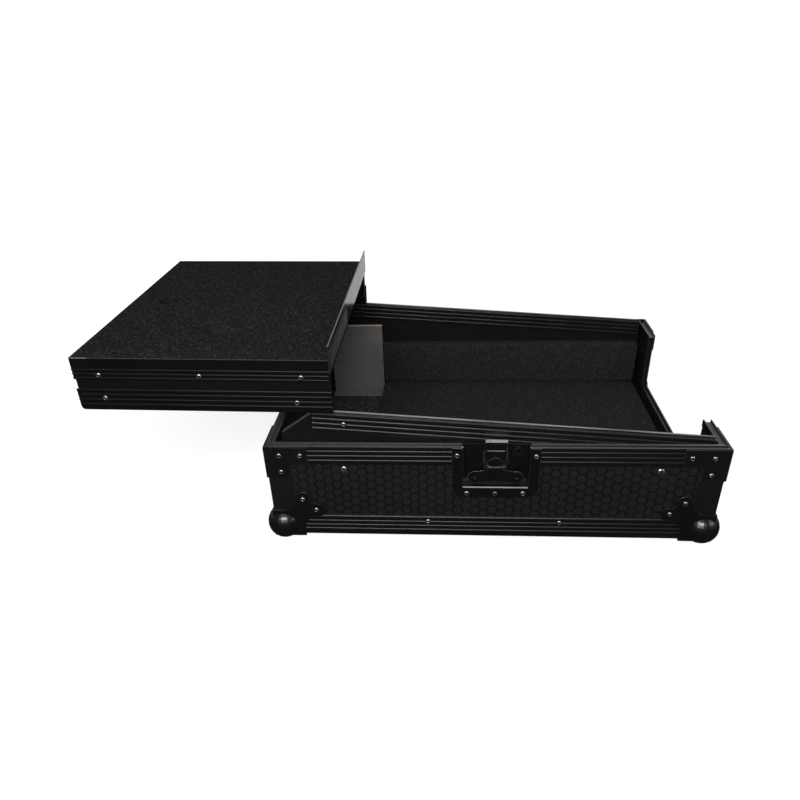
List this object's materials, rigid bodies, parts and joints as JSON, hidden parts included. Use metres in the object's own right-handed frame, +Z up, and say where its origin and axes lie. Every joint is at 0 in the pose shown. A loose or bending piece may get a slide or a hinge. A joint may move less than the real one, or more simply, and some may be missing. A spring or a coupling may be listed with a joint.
{
  "type": "mixer flight case with laptop shelf",
  "caption": "Low black flight case with ribbed edges, ball corners and latches, and a foam-topped laptop shelf that slides and tips on sloping rails.",
  "frame": {"origin": "centre of the bounding box on the floor, with the shelf drawn out", "axes": "+X from the rear, where the shelf hangs out, to the front, where the access panel was; +Y from the near long side to the far one; +Z up"},
  "size_m": [0.8184, 0.4422, 0.2823],
  "materials": {
    "laminate": "birch plywood faced with embossed black laminate, satin",
    "plywood": "plywood with black paper faces, matt",
    "black_aluminium": "black anodised extrusion, worn bright along its edges",
    "black_steel": "pressed steel, black coated, satin",
    "rubber": "black rubber",
    "foam": "dark grey foam",
    "shelf_foam": "thin black foam with a fine grain",
    "nylon": "black nylon"
  },
  "bodies": {
    "base": {"base_floor": "plywood", "wall_near": "laminate", "wall_far": "laminate", "wall_rear": "laminate", "wall_front": "laminate", "rim_near_rear": "black_aluminium", "rim_near_front": "black_aluminium", "rim_far_front": "black_aluminium", "rim_far_rear": "black_aluminium", "rim_rear": "black_aluminium", "rim_front_near": "black_aluminium", "rim_front_far": "black_aluminium", "bottom_trim_near": "black_aluminium", "bottom_trim_far": "black_aluminium", "bottom_trim_rear": "black_aluminium", "bottom_trim_front": "black_aluminium", "corner_angle_rear_near": "black_aluminium", "corner_angle_front_near": "black_aluminium", "corner_angle_front_far": "black_aluminium", "corner_angle_rear_far": "black_aluminium", "ball_corner_rear_near": "black_steel", "ball_corner_front_near": "black_steel", "ball_corner_front_far": "black_steel", "ball_corner_rear_far": "black_steel", "foot_rear_near": "rubber", "foot_front_near": "rubber", "foot_front_far": "rubber", "foot_rear_far": "rubber", "riser_near": "laminate", "riser_far": "laminate", "rail_near": "black_aluminium", "rail_far": "black_aluminium", "foam_bed": "foam", "foam_near": "foam", "foam_far": "foam", "foam_rear": "foam", "latch_dish_near": "black_steel", "latch_dish_far": "black_steel", "handle_dish": "black_steel"},
    "glide": {"glide_shoe_near": "nylon", "glide_shoe_far": "nylon"},
    "shelf": {"shelf_board": "plywood", "shelf_foam": "shelf_foam", "shelf_wall_near": "laminate", "shelf_wall_far": "laminate", "shelf_foot_trim_near": "black_aluminium", "shelf_foot_trim_far": "black_aluminium", "shelf_edge_trim_near": "black_aluminium", "shelf_edge_trim_far": "black_aluminium", "shelf_edge_trim_rear": "black_aluminium", "shelf_lip": "black_aluminium", "shelf_lip_trim": "black_aluminium"},
    "near_cam": {"latch_cam_near": "black_steel"},
    "near_butterfly": {"latch_butterfly_near": "black_steel"},
    "near_hook": {"latch_hook_near": "black_steel"},
    "far_cam": {"latch_cam_far": "black_steel"},
    "far_butterfly": {"latch_butterfly_far": "black_steel"},
    "far_hook": {"latch_hook_far": "black_steel"},
    "handle": {"handle_bail": "rubber"}
  },
  "joints": [
    {"name": "shelf_tip", "type": "hinge", "parent": "base", "child": "glide", "pos_m": [-0.10837, 0, 0.19082], "axis": [0, 1, 0], "range_deg": [0, 3.4]},
    {"name": "shelf_slide", "type": "slide", "parent": "glide", "child": "shelf", "axis": [0.9999, 0, -0.0147], "range_m": [0, 0.245]},
    {"name": "latch_near_turn", "type": "hinge", "parent": "base", "child": "near_cam", "pos_m": [0.11464, -0.203, 0.1195], "axis": [0, 1, 0], "range_deg": [0, 180]},
    {"name": "latch_near_fold", "type": "hinge", "parent": "near_cam", "child": "near_butterfly", "pos_m": [0.11464, -0.2061, 0.1195], "axis": [-1, 0, 0], "range_deg": [0, 90]},
    {"name": "latch_near_pull", "type": "slide", "parent": "base", "child": "near_hook", "axis": [0, 0, -1], "range_m": [0, 0.007]},
    {"name": "latch_far_turn", "type": "hinge", "parent": "base", "child": "far_cam", "pos_m": [0.11464, 0.203, 0.1195], "axis": [0, -1, 0], "range_deg": [0, 180]},
    {"name": "latch_far_fold", "type": "hinge", "parent": "far_cam", "child": "far_butterfly", "pos_m": [0.11464, 0.2061, 0.1195], "axis": [1, 0, 0], "range_deg": [0, 90]},
    {"name": "latch_far_pull", "type": "slide", "parent": "base", "child": "far_hook", "axis": [0, 0, -1], "range_m": [0, 0.007]},
    {"name": "handle_swing", "type": "hinge", "parent": "base", "child": "handle", "pos_m": [-0.17186, 0, 0.0995], "axis": [0, 1, 0], "range_deg": [0, 100], "stiffness_Nm_per_rad": 0.05, "springref_deg": -17.19}
  ],
  "couplings": [
    {"joint": "shelf_tip", "follows": "shelf_slide", "rad_per_m": 0.24078},
    {"joint": "latch_near_turn", "follows": "latch_near_pull", "rad_per_m": 448.79},
    {"joint": "latch_near_fold", "follows": "latch_near_pull", "rad_per_m": 224.39},
    {"joint": "latch_far_turn", "follows": "latch_far_pull", "rad_per_m": 448.79},
    {"joint": "latch_far_fold", "follows": "latch_far_pull", "rad_per_m": 224.39}
  ]
}
